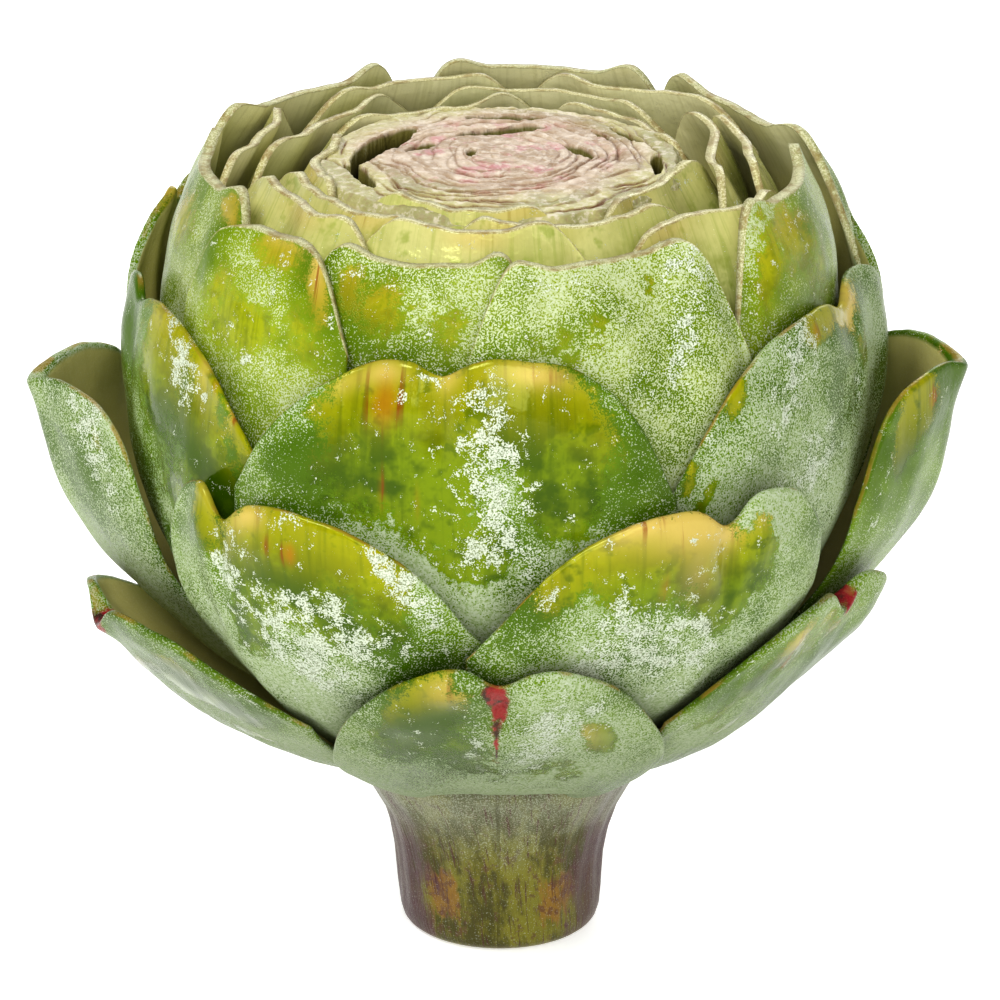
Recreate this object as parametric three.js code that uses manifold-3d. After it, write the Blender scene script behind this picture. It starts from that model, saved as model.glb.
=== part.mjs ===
// A globe artichoke with its crown sliced off level, standing on its cut stem.
// Millimetres, +Z up, front towards -Y, origin at the middle of the stem's cut foot.
// The stem widens into the receptacle, and every bract is a separate leaf seated round that receptacle.
import * as THREE from "three";
import { mergeVertices } from "three/addons/utils/BufferGeometryUtils.js";
import Module from "manifold-3d";

const wasm = await Module();
wasm.setup();

const { clamp, degToRad, lerp, radToDeg, seededRandom } = THREE.MathUtils;

// Driving dimensions of the head: an oval whose widest level is HEAD_Z above the foot. The crown is sliced
// off CUT above that level.
const HEAD_Z = 66;
const HEAD_RADIUS = 48.9;
const CROWN_HEIGHT = 61.2;
const BELLY_DEPTH = 44;
const CUT = 38.5;

// A bract's thickness at its root and at its thinnest, the gap left between bracts that touch, the room from
// row to row, which also takes the overlaps of neighbours in a row, and how far a tip stands out.
const BRACT_THICKNESS = 1.7;
const INNER_THICKNESS = 1.4;
const HEART_THICKNESS = 1.15;
const THINNEST = 0.8;
const CLEARANCE = 0.35;
const ROW_ROOM = 4.2;
const STEP_PROUD = 1.5;

// Rows inside the cut row shrink by this share of its reach each.
const INNER_SHARE = 0.115;

// Radii and heights above the foot of the stem, from the rounded cut end to the lip under the lowest bracts.
const STEM_PROFILE = [
  [11.4, 0],
  [12.6, 0.6],
  [13.1, 2.2],
  [13.3, 6],
  [13.9, 12],
  [15.0, 16.4],
  [16.5, 19.4],
  [18.2, 22.2],
  [19.4, 24.2],
];
const STEM_SIDES = 32;

// The receptacle above the lip: a seat for the lowest bracts, a flank up the roots of the rows, given as row
// and latitude, and a low dome under the heart.
const SEAT = [
  [17.4, 24.6],
  [17.4, 27.2],
];
const ROOTS = [
  [2, -60],
  [1, -54],
  [0, -48],
  [-1, -47],
  [-2, -47],
  [-3, -47],
];
const DOME_SHARE = 0.7;
const DOME_RISE = 1.2;

// Places on the head are given by a bearing, in degrees from the front towards the right, by a latitude, in
// degrees above the widest level, and by a reach, in mm along the spoke that leaves the axis there. Above the
// widest level the spokes start higher up the axis and tilt less, so that inner leaves can stand upright.
const SPOKE_LIFT = 0.5;
const SPOKE_TURN = 0.467;

const spokeTilt = (latitude) => degToRad(latitude < 0 ? latitude : SPOKE_TURN * latitude);
const spokeStart = (latitude) => SPOKE_LIFT * Math.max(latitude, 0);

// A point on the head, measured from the middle of its widest level.
function place(bearing, latitude, reach) {
  const turn = degToRad(bearing);
  const tilt = spokeTilt(latitude);
  const r = reach * Math.cos(tilt);
  const z = spokeStart(latitude) + reach * Math.sin(tilt);
  return new THREE.Vector3(r * Math.sin(turn), -r * Math.cos(turn), z);
}

// Bearing, latitude and reach of a point: the reverse of place.
const HALVINGS = 13;

function locate({ x, y, z }) {
  const r = Math.hypot(x, y);
  const bearing = radToDeg(Math.atan2(x, -y));
  if (z <= 0) return { bearing, latitude: radToDeg(Math.atan2(z, r)), reach: Math.hypot(r, z) };
  let low = 0;
  let high = 90;
  for (let k = 0; k < HALVINGS; k++) {
    const middle = (low + high) / 2;
    if (spokeStart(middle) + r * Math.tan(spokeTilt(middle)) < z) low = middle;
    else high = middle;
  }
  return { bearing, latitude: low, reach: r / Math.cos(spokeTilt(low)) };
}

// Reach of the head's oval outline: where the spoke of that latitude leaves the ellipse.
function headReach(latitude) {
  const tilt = spokeTilt(latitude);
  const height = latitude < 0 ? BELLY_DEPTH : CROWN_HEIGHT;
  const start = spokeStart(latitude) / height;
  const across = Math.cos(tilt) / HEAD_RADIUS;
  const up = Math.sin(tilt) / height;
  const steep = across * across + up * up;
  const b = up * start;
  return (-b + Math.sqrt(b * b + steep * (1 - start * start))) / steep;
}

// Outer face of a row. Row 0 is the outermost row that reaches the cut: rows outside it count up, rows inside
// count down. The lower on the head, the more rows lie over row 0, so the deeper it sinks.
const COVER_STARTS = 42;
const COVER_STEP = 24;
const COVER_ROWS = 3;

function rowReach(row, latitude) {
  const covered = clamp((COVER_STARTS - latitude) / COVER_STEP, 0, COVER_ROWS);
  if (row > covered) return headReach(latitude) + STEP_PROUD * (row - covered);
  const cutRow = headReach(latitude) - ROW_ROOM * covered;
  return row < 0 ? cutRow * (1 + row * INNER_SHARE) : cutRow + ROW_ROOM * row;
}

// Latitude at which a row's outer face passes a height.
function latitudeAtHeight(row, height) {
  let low = 0;
  let high = 90;
  for (let k = 0; k < HALVINGS; k++) {
    const middle = (low + high) / 2;
    if (place(0, middle, rowReach(row, middle)).z < height) low = middle;
    else high = middle;
  }
  return low;
}

// The outermost reach of every leaf laid so far, on cells of bearing and latitude. Leaves are laid from the
// heart outwards, and each one rests on what it covers.
const CELL = 1.5;
const BEARING_CELLS = 360 / CELL;
const LOWEST = -75;
const LATITUDE_CELLS = 110;
const laid = new Float64Array(BEARING_CELLS * LATITUDE_CELLS);

function cellAt(bearingCell, latitudeCell) {
  const turned = ((bearingCell % BEARING_CELLS) + BEARING_CELLS) % BEARING_CELLS;
  return turned * LATITUDE_CELLS + clamp(latitudeCell, 0, LATITUDE_CELLS - 1);
}

function reachUnder(bearing, latitude) {
  const b = Math.round(bearing / CELL);
  const l = Math.round((latitude - LOWEST) / CELL);
  let most = 0;
  for (let i = b - 1; i <= b + 1; i++)
    for (let j = l - 1; j <= l + 1; j++) most = Math.max(most, laid[cellAt(i, j)]);
  return most;
}

// Calls visit with points spread over the two triangles of every quad between columns of points.
const SPREAD = 9;

function spreadOver(columns, visit) {
  const point = new THREE.Vector3();
  for (let i = 0; i < columns.length - 1; i++)
    for (let j = 0; j < columns[i].length - 1; j++)
      for (let a = 0; a <= SPREAD; a++)
        for (let b = 0; b <= SPREAD; b++) {
          const s = a / SPREAD;
          const t = b / SPREAD;
          point.copy(columns[i][j]).multiplyScalar(1 - Math.max(s, t));
          point.addScaledVector(columns[i + 1][j + 1], Math.min(s, t));
          if (s > t) point.addScaledVector(columns[i + 1][j], s - t);
          else point.addScaledVector(columns[i][j + 1], t - s);
          visit(locate(point), i, j);
        }
}

// Latitude of a leaf's upper edge at u, from -1 to 1 across it: blunt shoulders, with a notch at the tip.
const NOTCH_WIDTH = 0.11;

function upperEdge(leaf, u) {
  const blunt = u > 0 ? (leaf.bluntRight ?? leaf.blunt) : leaf.blunt;
  const shoulder = (leaf.tip - leaf.side) * Math.abs(u) ** blunt;
  return leaf.tip - shoulder - leaf.notch * Math.exp(-((u / NOTCH_WIDTH) ** 2));
}

// Bearing at u: the tip sits skew degrees to one side of the leaf's middle.
function bearingAt(leaf, u) {
  const reachToSide = u < 0 ? leaf.halfWidth + leaf.skew : leaf.halfWidth - leaf.skew;
  return leaf.bearing + leaf.skew + u * reachToSide;
}

// The ribs of a free leaf: for each column across it, the latitudes up it, the reach of its inner face and
// its thickness. It thins towards its tip and margins, leans out towards the tip, bulges in the middle, hugs
// the head at its margins, and may have a raised midrib or a pinched tip, which leans out in the middle only.
const TIP_THINNING = 0.2;
const MARGIN_THINNING = 0.55;
const BULGE_END = 0.9;
const MIDRIB_WIDTH = 0.35;
const PINCH_POWER = 0.8;
const PAST_CUT = 2.5;

function freeRibs(leaf) {
  const cutLatitude = leaf.cut ? latitudeAtHeight(leaf.row, leaf.cut) + PAST_CUT : Infinity;
  return leaf.across.map((u) => {
    const rib = { bearing: bearingAt(leaf, u), latitudes: [], inner: [], thick: [] };
    const top = Math.min(upperEdge(leaf, u), cutLatitude);
    for (let j = 0; j <= leaf.steps; j++) {
      const v = j / leaf.steps;
      const latitude = lerp(leaf.base, top, v);
      const rise = (latitude - leaf.base) / (leaf.tip - leaf.base);
      const thick = leaf.thick * (1 - TIP_THINNING * v) * (1 - MARGIN_THINNING * u ** 4);
      const proud =
        leaf.lean * rise ** leaf.bend * (1 - leaf.pinch * Math.abs(u) ** PINCH_POWER) +
        leaf.bulge * (1 - u * u) * Math.sin(Math.PI * Math.min(v, BULGE_END)) -
        leaf.hug * u * u * v +
        leaf.midrib * Math.max(0, 1 - Math.abs(u) / MIDRIB_WIDTH) * v;
      rib.latitudes.push(latitude);
      rib.thick.push(Math.max(THINNEST, thick));
      rib.inner.push(rowReach(leaf.row, latitude) + proud - rib.thick[j]);
    }
    return rib;
  });
}

const innerFace = (ribs) =>
  ribs.map(({ bearing, latitudes, inner }) => inner.map((reach, j) => place(bearing, latitudes[j], reach)));

const outerFace = (ribs) =>
  innerFace(ribs.map((rib) => ({ ...rib, inner: rib.inner.map((reach, j) => reach + rib.thick[j]) })));

// Lifts the inner face off every leaf that was laid before.
function liftClear(ribs) {
  const lifts = ribs.map((rib) => rib.inner.map(() => 0));
  spreadOver(innerFace(ribs), ({ bearing, latitude, reach }, i, j) => {
    const short = reachUnder(bearing, latitude) + CLEARANCE - reach;
    for (const column of [lifts[i], lifts[i + 1]]) {
      column[j] = Math.max(column[j], short);
      column[j + 1] = Math.max(column[j + 1], short);
    }
  });
  ribs.forEach((rib, i) => {
    rib.inner = rib.inner.map((reach, j) => reach + lifts[i][j]);
  });
}

// A stiff leaf bridges the hollows under it: each point is raised to the mean of its neighbours.
function bridgeHollows(ribs) {
  for (let i = 1; i < ribs.length - 1; i++)
    for (let j = 1; j < ribs[i].inner.length - 1; j++) {
      const beside = ribs[i - 1].inner[j] + ribs[i + 1].inner[j];
      const along = ribs[i].inner[j - 1] + ribs[i].inner[j + 1];
      ribs[i].inner[j] = Math.max(ribs[i].inner[j], (beside + along) / 4);
    }
}

const BRIDGING_PASSES = 3;
const LIFTING_PASSES = 2;

function layLeaf(leaf) {
  const ribs = freeRibs(leaf);
  for (let pass = 0; pass < BRIDGING_PASSES; pass++) {
    liftClear(ribs);
    bridgeHollows(ribs);
  }
  for (let pass = 0; pass < LIFTING_PASSES; pass++) liftClear(ribs);
  spreadOver(outerFace(ribs), ({ bearing, latitude, reach }) => {
    const cell = cellAt(Math.round(bearing / CELL), Math.round((latitude - LOWEST) / CELL));
    laid[cell] = Math.max(laid[cell], reach);
  });
  return ribs;
}

// Where a column of points runs past the cut, its last point is moved down onto the cut.
function trimToCut(columns, cut) {
  for (const points of columns) {
    const last = points.at(-1);
    const before = points.at(-2);
    if (cut && last.z > cut) last.lerp(before, (last.z - cut) / (last.z - before.z));
  }
  return columns.flat();
}

// The closed skin of a leaf: outer and inner face, split alike into triangles, joined round the edge. It is
// built turned back to the front, so that its mesh can be turned to its bearing.
function leafGeometry(leaf) {
  const ribs = layLeaf(leaf);
  for (const rib of ribs) rib.bearing -= leaf.bearing;
  const rows = leaf.steps + 1;
  const lastColumn = ribs.length - 1;
  const outer = (i, j) => i * rows + j;
  const inner = (i, j) => (ribs.length + i) * rows + j;
  const triangles = [];
  const quad = (a, b, c, d) => triangles.push(a, b, c, a, c, d);
  for (let i = 0; i < lastColumn; i++)
    for (let j = 0; j < leaf.steps; j++) {
      quad(outer(i, j), outer(i + 1, j), outer(i + 1, j + 1), outer(i, j + 1));
      quad(inner(i + 1, j + 1), inner(i + 1, j), inner(i, j), inner(i, j + 1));
    }
  for (let i = 0; i < lastColumn; i++) {
    quad(outer(i, 0), inner(i, 0), inner(i + 1, 0), outer(i + 1, 0));
    quad(outer(i, leaf.steps), outer(i + 1, leaf.steps), inner(i + 1, leaf.steps), inner(i, leaf.steps));
  }
  for (let j = 0; j < leaf.steps; j++) {
    quad(outer(0, j), outer(0, j + 1), inner(0, j + 1), inner(0, j));
    quad(outer(lastColumn, j), inner(lastColumn, j), inner(lastColumn, j + 1), outer(lastColumn, j + 1));
  }
  const points = [...trimToCut(outerFace(ribs), leaf.cut), ...trimToCut(innerFace(ribs), leaf.cut)];
  const geometry = new THREE.BufferGeometry().setFromPoints(points);
  geometry.setIndex(triangles);
  geometry.computeVertexNormals();
  return geometry;
}

const LEAF_DEFAULTS = {
  skew: 0,
  notch: 0,
  lean: 0,
  bend: 3,
  bulge: 0,
  hug: 0.5,
  midrib: 0,
  pinch: 0,
  thick: BRACT_THICKNESS,
  cut: null,
};

const WIDE_ACROSS = [-1, -0.82, -0.6, -0.36, -0.14, 0, 0.14, 0.36, 0.6, 0.82, 1];
const CUT_ACROSS = [-1, -0.7, -0.35, 0, 0.35, 0.7, 1];
const INNER_ACROSS = [-1, -0.65, -0.3, 0, 0.3, 0.65, 1];
const HEART_ACROSS = [-1, -0.5, 0, 0.5, 1];

// The visible rows from the heart side out. Each entry of places is one bract, and says where it differs
// from its row. Within a row, a later bract overlaps an earlier one.
const ROWS = [
  {
    name: "crown_bract",
    row: 0,
    base: -48,
    steps: 7,
    across: CUT_ACROSS,
    cut: CUT,
    halfWidth: 27,
    tip: 56,
    side: 26,
    blunt: 3.5,
    midrib: 0.5,
    places: [
      { bearing: -15, halfWidth: 25, cut: CUT - 1.6 },
      { bearing: 171, halfWidth: 31, cut: CUT + 0.4, lean: -1, blunt: 6 },
      { bearing: -81, halfWidth: 33 },
      { bearing: 73, halfWidth: 30, lean: 0.5 },
      { bearing: -136, halfWidth: 31, lean: -1.5, blunt: 6 },
      { bearing: 125, halfWidth: 31, cut: CUT - 0.8, lean: -3.5, blunt: 6 },
      { bearing: -44, halfWidth: 19, tip: 50, side: 30, blunt: 2.4, cut: CUT - 0.6, lean: -1 },
      { bearing: 19, halfWidth: 26, tip: 52, bluntRight: 9, cut: CUT - 1.3 },
    ],
  },
  {
    name: "upper_bract",
    row: 1,
    base: -54,
    steps: 8,
    across: WIDE_ACROSS,
    halfWidth: 34,
    tip: 31.5,
    side: 9,
    blunt: 3.4,
    notch: 2.5,
    lean: 1,
    bulge: 0.8,
    places: [
      { bearing: 178, halfWidth: 35, tip: 33 },
      { bearing: -68, halfWidth: 33, tip: 29, skew: -8, lean: 1, blunt: 3 },
      { bearing: 64, halfWidth: 37, tip: 29.5, skew: 8, lean: -0.5, blunt: 4.2 },
      { bearing: -127, halfWidth: 27, tip: 35, skew: 17, lean: 0.5, side: 5 },
      { bearing: 128, halfWidth: 27, tip: 36, skew: -14, lean: -1.8, side: 5, bulge: 0 },
      { bearing: -7, halfWidth: 34, skew: -2, lean: 0.6, blunt: 2.5, bluntRight: 4.2 },
    ],
  },
  {
    name: "middle_bract",
    row: 2,
    base: -60,
    steps: 8,
    across: WIDE_ACROSS,
    halfWidth: 29,
    tip: 9,
    side: -12,
    blunt: 3.5,
    notch: 3.5,
    lean: 1,
    bulge: 1.2,
    places: [
      { bearing: 146, tip: 12, lean: 5 },
      { bearing: -147, tip: 11, lean: 4 },
      {
        bearing: -94,
        halfWidth: 27,
        skew: 6,
        tip: 11.5,
        side: -4,
        blunt: 2.8,
        bluntRight: 5,
        lean: 10.5,
        bend: 1.6,
        pinch: 1,
        notch: 1.5,
      },
      {
        bearing: 95,
        halfWidth: 27,
        skew: -6,
        tip: 13,
        side: -3,
        blunt: 5,
        bluntRight: 2.8,
        lean: 10,
        bend: 1.6,
        pinch: 1,
        notch: 1.5,
      },
      { bearing: -30, halfWidth: 28, skew: -12, lean: 1.6 },
      { bearing: 26, halfWidth: 31, skew: 8, lean: 1.6, blunt: 3, bluntRight: 4.2 },
    ],
  },
  {
    name: "collar_bract",
    row: 3,
    base: -64,
    steps: 7,
    across: WIDE_ACROSS,
    halfWidth: 34,
    tip: -16,
    side: -40,
    blunt: 2.2,
    notch: 4,
    lean: 2,
    bulge: 1.2,
    places: [
      { bearing: -146, lean: 5 },
      { bearing: 143, lean: 6 },
      { bearing: -69, halfWidth: 33, skew: -3, tip: -14.5, side: -33, lean: 7.6, bend: 1.2, pinch: 0.8 },
      { bearing: 60, halfWidth: 29, skew: 3, tip: -11.5, side: -32, blunt: 2.6, lean: 0.5, hug: 1 },
      { bearing: 0, tip: -11, lean: 1.4 },
    ],
  },
];

const bracts = () =>
  ROWS.flatMap(({ places, name, ...row }) =>
    places.map((own, k) => ({ ...LEAF_DEFAULTS, ...row, ...own, name: `${name}_${k + 1}` })),
  );

// Rows of inner leaves between the crown bracts and the heart, each row turned against the one outside it.
// Every count is odd, because each leaf is laid two places on from the one before it. Bearings, midribs and
// cut heights vary from leaf to leaf within the spreads below.
const INNER_ROWS = [
  { row: -3, count: 5, turn: -14 },
  { row: -2, count: 5, turn: 22 },
  { row: -1, count: 7, turn: -3 },
];
const INNER_OVERLAP = 1.14;
const INNER_SEED = 11;
const BEARING_SPREAD = 4;
const MOST_MIDRIB = 0.7;
const LOWEST_CUT = -0.5;
const HIGHEST_CUT = 0.9;
const INNER_LEAF = {
  base: -46,
  tip: 80,
  side: 40,
  blunt: 6,
  steps: 6,
  across: INNER_ACROSS,
  thick: INNER_THICKNESS,
};

function innerLeaves() {
  seededRandom(INNER_SEED);
  return INNER_ROWS.flatMap(({ row, count, turn }) =>
    Array.from({ length: count }, (_, k) => ({
      ...LEAF_DEFAULTS,
      ...INNER_LEAF,
      name: `inner_leaf_${-row}_${k + 1}`,
      row,
      bearing:
        turn + (360 / count) * ((k * 2) % count) + lerp(-BEARING_SPREAD, BEARING_SPREAD, seededRandom()),
      halfWidth: (180 / count) * INNER_OVERLAP,
      midrib: lerp(0, MOST_MIDRIB, seededRandom()),
      cut: CUT + lerp(LOWEST_CUT, HIGHEST_CUT, seededRandom()),
    })),
  );
}

// The heart: rings of thin upright leaves round the axis, each ring at a share of the cut row's reach. They
// are rooted in a small egg-shaped core and fused with it.
const HEART_RINGS = [
  { share: 0.06, count: 2 },
  { share: 0.13, count: 3 },
  { share: 0.2, count: 3 },
  { share: 0.27, count: 3 },
  { share: 0.35, count: 4 },
  { share: 0.43, count: 4 },
  { share: 0.53, count: 5 },
];
const HEART_OVERLAP = 1.15;
const HEART_SEED = 5;
const HEART_SPREAD = 6;
const HEART_LOWEST_CUT = -0.3;
const HEART_HIGHEST_CUT = 0.7;
const HEART_LEAF = {
  base: 10,
  tip: 88,
  side: 88,
  blunt: 2,
  steps: 3,
  across: HEART_ACROSS,
  thick: HEART_THICKNESS,
};
const GOLDEN_TURN = 137.5;

function heartLeaves() {
  seededRandom(HEART_SEED);
  return HEART_RINGS.flatMap(({ share, count }, ring) =>
    Array.from({ length: count }, (_, k) => ({
      ...LEAF_DEFAULTS,
      ...HEART_LEAF,
      row: (share - 1) / INNER_SHARE,
      bearing: ring * GOLDEN_TURN + (360 / count) * k + lerp(-HEART_SPREAD, HEART_SPREAD, seededRandom()),
      halfWidth: (180 / count) * HEART_OVERLAP,
      cut: CUT + lerp(HEART_LOWEST_CUT, HEART_HIGHEST_CUT, seededRandom()),
    })),
  );
}

// A solid turned about the axis from radii and heights, closed on the axis at both ends.
function turned(profile, sides) {
  const closed = [[0, profile[0][1]], ...profile, [0, profile.at(-1)[1]]];
  const points = closed.map(([r, z]) => new THREE.Vector2(r, z));
  return new THREE.LatheGeometry(points, sides).rotateX(Math.PI / 2);
}

// Radius and height of a row's face at a latitude, inset by some mm, for a turned profile.
function rowProfilePoint(row, latitude, inset) {
  const point = place(90, latitude, rowReach(row, latitude) - inset);
  return [point.x, point.z];
}

function stemGeometry() {
  const inset = BRACT_THICKNESS + 2 * CLEARANCE;
  const flank = ROOTS.map(([row, latitude]) => {
    const [r, z] = rowProfilePoint(row, latitude, inset);
    return [r, z + HEAD_Z];
  });
  const [r, z] = flank.at(-1);
  return turned([...STEM_PROFILE, ...SEAT, ...flank, [r * DOME_SHARE, z + DOME_RISE]], STEM_SIDES);
}

// The core's flank follows a row that would lie between the inner leaves and the heart's leaves. Its dome is
// given as shares of the flank's top radius and heights above the widest level.
const CORE_ROW = -3.6;
const CORE_LATITUDES = [-38, -25, -8, 10, 30];
const CORE_DOME = [
  [0.62, 23.5],
  [0.3, 26],
];
const CORE_SIDES = 20;

function coreGeometry() {
  const flank = CORE_LATITUDES.map((latitude) => rowProfilePoint(CORE_ROW, latitude, 0));
  const [r] = flank.at(-1);
  return turned([...flank, ...CORE_DOME.map(([share, z]) => [r * share, z])], CORE_SIDES);
}

// A solid from a closed geometry, and back.
function toSolid(geometry) {
  const bare = new THREE.BufferGeometry().setAttribute("position", geometry.getAttribute("position"));
  bare.setIndex(geometry.getIndex());
  const merged = mergeVertices(bare, 1e-3);
  const vertProperties = merged.getAttribute("position").array;
  const triVerts = new Uint32Array(merged.getIndex().array);
  return new wasm.Manifold(new wasm.Mesh({ numProp: 3, vertProperties, triVerts }));
}

function fromSolid(solid) {
  const { vertProperties, triVerts } = solid.getMesh();
  const geometry = new THREE.BufferGeometry();
  geometry.setAttribute("position", new THREE.BufferAttribute(vertProperties, 3));
  geometry.setIndex(new THREE.BufferAttribute(triVerts, 1));
  geometry.computeVertexNormals();
  return geometry;
}

// The fused heart's outer skin: a hollow that is sealed between its leaves is filled.
function heartGeometry() {
  const leaves = heartLeaves().map((leaf) => toSolid(leafGeometry(leaf).rotateZ(degToRad(leaf.bearing))));
  const fused = leaves.reduce((whole, leaf) => whole.add(leaf), toSolid(coreGeometry()));
  const [largest] = fused.decompose().sort((a, b) => b.volume() - a.volume());
  return fromSolid(largest);
}

const skin = (color, roughness) => new THREE.MeshStandardMaterial({ color, roughness, metalness: 0 });
const stemSkin = skin(0x7d8a5c, 0.6);
const bractSkin = skin(0x8fae5a, 0.55);
const innerSkin = skin(0xb4c27a, 0.55);
const heartSkin = skin(0xcdb79a, 0.6);

function piece(name, geometry, material) {
  const mesh = new THREE.Mesh(geometry, material);
  mesh.name = name;
  return mesh;
}

function leafPiece(leaf, material) {
  const mesh = piece(leaf.name, leafGeometry(leaf), material);
  mesh.rotation.z = degToRad(leaf.bearing);
  return mesh;
}

// The pieces of the head are laid in this order, from the heart outwards.
const head = new THREE.Group();
head.position.z = HEAD_Z;
head.add(piece("heart", heartGeometry(), heartSkin));
for (const leaf of innerLeaves()) head.add(leafPiece(leaf, innerSkin));
for (const leaf of bracts()) head.add(leafPiece(leaf, bractSkin));

const artichoke = new THREE.Group();
artichoke.add(piece("stem", stemGeometry(), stemSkin), head);

export default artichoke;
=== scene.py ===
"""A globe artichoke with its crown sliced off level, standing on its cut stem on a pale floor.

Every bract is a smooth closed leaf drawn over the ribs of its CAD solid, with its notched tip, veins, rubbed
skin and powdery bloom. The heart is one relief of packed, sliced leaves, and the stem is a turned skin.
"""
import math

import bpy
import numpy as np
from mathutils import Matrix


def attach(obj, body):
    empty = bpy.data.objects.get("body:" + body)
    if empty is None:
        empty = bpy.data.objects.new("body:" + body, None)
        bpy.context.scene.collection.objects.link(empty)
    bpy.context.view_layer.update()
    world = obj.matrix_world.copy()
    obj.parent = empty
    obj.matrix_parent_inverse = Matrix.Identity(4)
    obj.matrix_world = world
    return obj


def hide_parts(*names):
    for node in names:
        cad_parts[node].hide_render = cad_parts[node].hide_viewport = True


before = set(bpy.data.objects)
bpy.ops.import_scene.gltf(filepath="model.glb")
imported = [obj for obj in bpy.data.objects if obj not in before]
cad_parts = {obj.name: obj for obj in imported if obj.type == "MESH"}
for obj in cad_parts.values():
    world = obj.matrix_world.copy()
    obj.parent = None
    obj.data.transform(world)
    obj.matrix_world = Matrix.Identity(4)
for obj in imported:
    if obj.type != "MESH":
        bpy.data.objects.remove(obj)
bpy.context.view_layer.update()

# Sizes in mm, with the head's widest level at HEAD_Z above the foot and the crown's cut at CUT_Z.
MM = 0.001
HEAD_Z = 66.0
CUT_Z = 104.5

# For each degree of latitude, a spoke of the head starts this many mm up the axis and tilts by this many
# degrees.
SPOKE_LIFT = 0.5
SPOKE_TURN = 0.467

# The camera: the point that it looks at and its distance from there in metres, how far above the level it
# stands, its lens and sensor in mm, and the width in pixels of the square photo, which the render repeats.
AIM = np.array([0.0, 0.0, 0.0581])
DISTANCE = 0.9
RISE = math.radians(21)
LENS = 252.4
SENSOR = 36
PHOTO_WIDTH = 1000

# Each lamp's name, its place and size in metres, and its power in watts.
LAMPS = [
    ("key", (-0.35, -0.5, 0.85), 0.35, 6.0),
    ("fill", (0.1, -0.9, 0.42), 0.5, 3.6),
    ("back", (0.2, 0.7, 0.6), 0.5, 2.4),
]
SURROUND_STRENGTH = 0.34
FLOOR_GLOW = 0.45


def camera_and_light():
    """A long lens above the level, a soft key from the left, a fill in front, a back lamp and a surround."""
    scene = bpy.context.scene
    lens = bpy.data.cameras.new("camera")
    lens.sensor_width = SENSOR
    lens.lens = LENS
    camera = bpy.data.objects.new("camera", lens)
    camera.location = AIM + DISTANCE * np.array([0.0, -math.cos(RISE), math.sin(RISE)])
    camera.rotation_euler = (math.pi / 2 - RISE, 0, 0)
    scene.collection.objects.link(camera)
    scene.camera = camera
    for name, spot, size, power in LAMPS:
        light = bpy.data.lights.new(name, "AREA")
        light.size = size
        light.energy = power
        lamp = bpy.data.objects.new(name, light)
        lamp.location = spot
        toward = AIM - np.array(spot)
        tilt = math.atan2(math.hypot(toward[0], toward[1]), -toward[2])
        turn = math.atan2(toward[1], toward[0]) - math.pi / 2
        lamp.rotation_euler = (tilt, 0, turn)
        scene.collection.objects.link(lamp)
    world = bpy.data.worlds.new("surround")
    world.use_nodes = True
    surround = world.node_tree.nodes["Background"]
    surround.inputs["Color"].default_value = (1, 1, 1, 1)
    surround.inputs["Strength"].default_value = SURROUND_STRENGTH
    scene.world = world
    scene.view_settings.view_transform = "Standard"
    scene.view_settings.look = "Medium High Contrast"


def lattice_noise(points, scale, seed):
    """Noise from -1 to 1: hashed values on a cubic lattice, blended with a smooth step between them."""
    p = points / scale
    cell = np.floor(p).astype(np.int64)
    f = p - cell
    f = f * f * (3 - 2 * f)
    total = np.zeros(len(points))
    for corner in range(8):
        offset = np.array([corner & 1, corner >> 1 & 1, corner >> 2 & 1])
        c = cell + offset
        key = c[:, 0] * 73856093 ^ c[:, 1] * 19349663 ^ c[:, 2] * 83492791 ^ seed * 2654435761
        key = (key ^ key >> 13) * 1274126177 & 0x7FFFFFFF
        value = (key ^ key >> 16) % 65536 / 32768 - 1
        weight = np.prod(np.where(offset, f, 1 - f), axis=1)
        total += value * weight
    return total


def smooth_step(low, high, x):
    """0 at low, 1 at high, and 3t^2 - 2t^3 of the share t of the way between them."""
    t = np.clip((x - low) / (high - low), 0, 1)
    return t * t * (3 - 2 * t)


def turned(r, turn, z):
    """Points at radius r and height z, turned round the axis from the front towards the right."""
    return np.stack(np.broadcast_arrays(r * np.sin(turn), -r * np.cos(turn), z), -1)


def place(bearing, latitude, reach):
    """A point in mm from the head's middle: reach along the spoke of that bearing and latitude."""
    turn = np.radians(bearing)
    tilt = np.radians(np.where(latitude < 0, latitude, SPOKE_TURN * latitude))
    r = reach * np.cos(tilt)
    z = SPOKE_LIFT * np.maximum(latitude, 0) + reach * np.sin(tilt)
    return turned(r, turn, z)


def locate(points):
    """Bearing, latitude and reach of points in mm: the reverse of place, by halving."""
    r = np.hypot(points[:, 0], points[:, 1])
    z = points[:, 2]
    low = np.zeros(len(points))
    high = np.full(len(points), 90.0)
    for _ in range(40):
        middle = (low + high) / 2
        below = SPOKE_LIFT * middle + r * np.tan(np.radians(SPOKE_TURN * middle)) < z
        low = np.where(below, middle, low)
        high = np.where(below, high, middle)
    bearing = np.degrees(np.arctan2(points[:, 0], -points[:, 1]))
    latitude = np.where(z <= 0, np.degrees(np.arctan2(z, r)), low)
    reach = np.where(z <= 0, np.hypot(r, z), r / np.cos(np.radians(SPOKE_TURN * low)))
    return bearing, latitude, reach


def vertices_of(node):
    """The separate points of a CAD node's mesh, in mm."""
    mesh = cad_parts[node].data
    flat = np.empty(len(mesh.vertices) * 3)
    mesh.vertices.foreach_get("co", flat)
    return np.unique(np.round(flat.reshape(-1, 3) / MM, 4), axis=0)


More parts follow.
